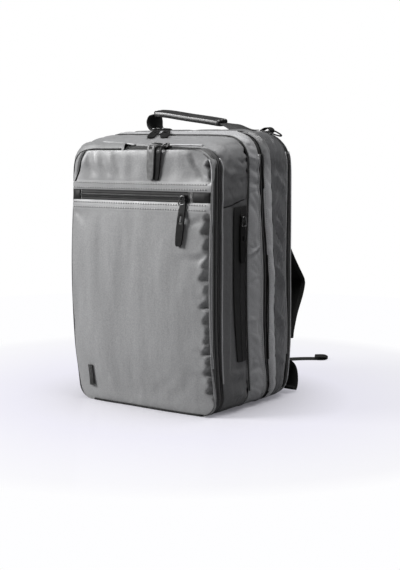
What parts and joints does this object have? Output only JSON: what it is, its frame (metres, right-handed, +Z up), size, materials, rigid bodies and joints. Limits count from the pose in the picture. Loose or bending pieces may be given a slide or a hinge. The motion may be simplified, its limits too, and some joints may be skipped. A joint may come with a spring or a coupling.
{
  "type": "convertible backpack",
  "caption": "Upright box-shaped cloth backpack with zipped pockets, a top carry handle with a grip, D-rings and two padded shoulder straps with loose webbing tails.",
  "frame": {"origin": "middle of the bag's base, on the floor", "axes": "+Z up, the front panel faces -Y, +X is to the viewer's right when facing the front"},
  "size_m": [0.2976, 0.543, 0.4719],
  "materials": {
    "light_nylon": "light grey nylon with a satin sheen",
    "grey_nylon": "mid grey nylon",
    "black_tape": "woven zip tape",
    "dark_cord": "covered piping",
    "black_mesh": "padded mesh",
    "grey_tab": "matt",
    "grey_webbing": "woven webbing",
    "black_leather": "smooth, ribbed",
    "black_padding": "padded cloth",
    "black_metal": "satin black",
    "black_rubber": "matt",
    "black_webbing": "woven webbing",
    "black_plastic": "moulded"
  },
  "bodies": {
    "root": {"front_panel": "light_nylon", "front_pocket_zip": "black_tape", "front_pocket_hinge": "light_nylon", "front_body": "grey_nylon", "piping": "dark_cord", "gusset_strip": "grey_nylon", "main_zip": "black_tape", "fold_strip": "light_nylon", "rear_body": "grey_nylon", "rear_zip": "black_tape", "back_panel": "black_mesh", "slit_zip": "black_tape", "side_zip": "black_tape", "plain_tab": "grey_tab", "handle_webbing": "grey_webbing", "handle_grip": "black_leather", "strap_anchor": "black_padding", "slit_zip_slider": "black_metal", "slit_zip_pull": "black_rubber", "side_zip_slider": "black_metal", "side_zip_pull": "black_rubber", "rear_zip_slider": "black_metal", "rear_zip_pull": "black_rubber", "main_zip_slider_left": "black_metal", "main_zip_pull_left": "black_rubber", "ring_tab_left": "black_webbing", "d_ring_left": "black_metal", "shoulder_strap_left": "black_padding", "ladder_lock_left": "black_plastic", "lower_webbing_left": "black_webbing", "lower_tab_left": "black_webbing", "main_zip_slider_right": "black_metal", "main_zip_pull_right": "black_rubber", "ring_tab_right": "black_webbing", "d_ring_right": "black_metal", "shoulder_strap_right": "black_padding", "ladder_lock_right": "black_plastic", "lower_webbing_right": "black_webbing", "lower_tab_right": "black_webbing", "front_pocket_slider_left": "black_metal", "front_pocket_pull_left": "black_rubber", "front_pocket_slider_right": "black_metal", "front_pocket_pull_right": "black_rubber"}
  },
  "joints": []
}
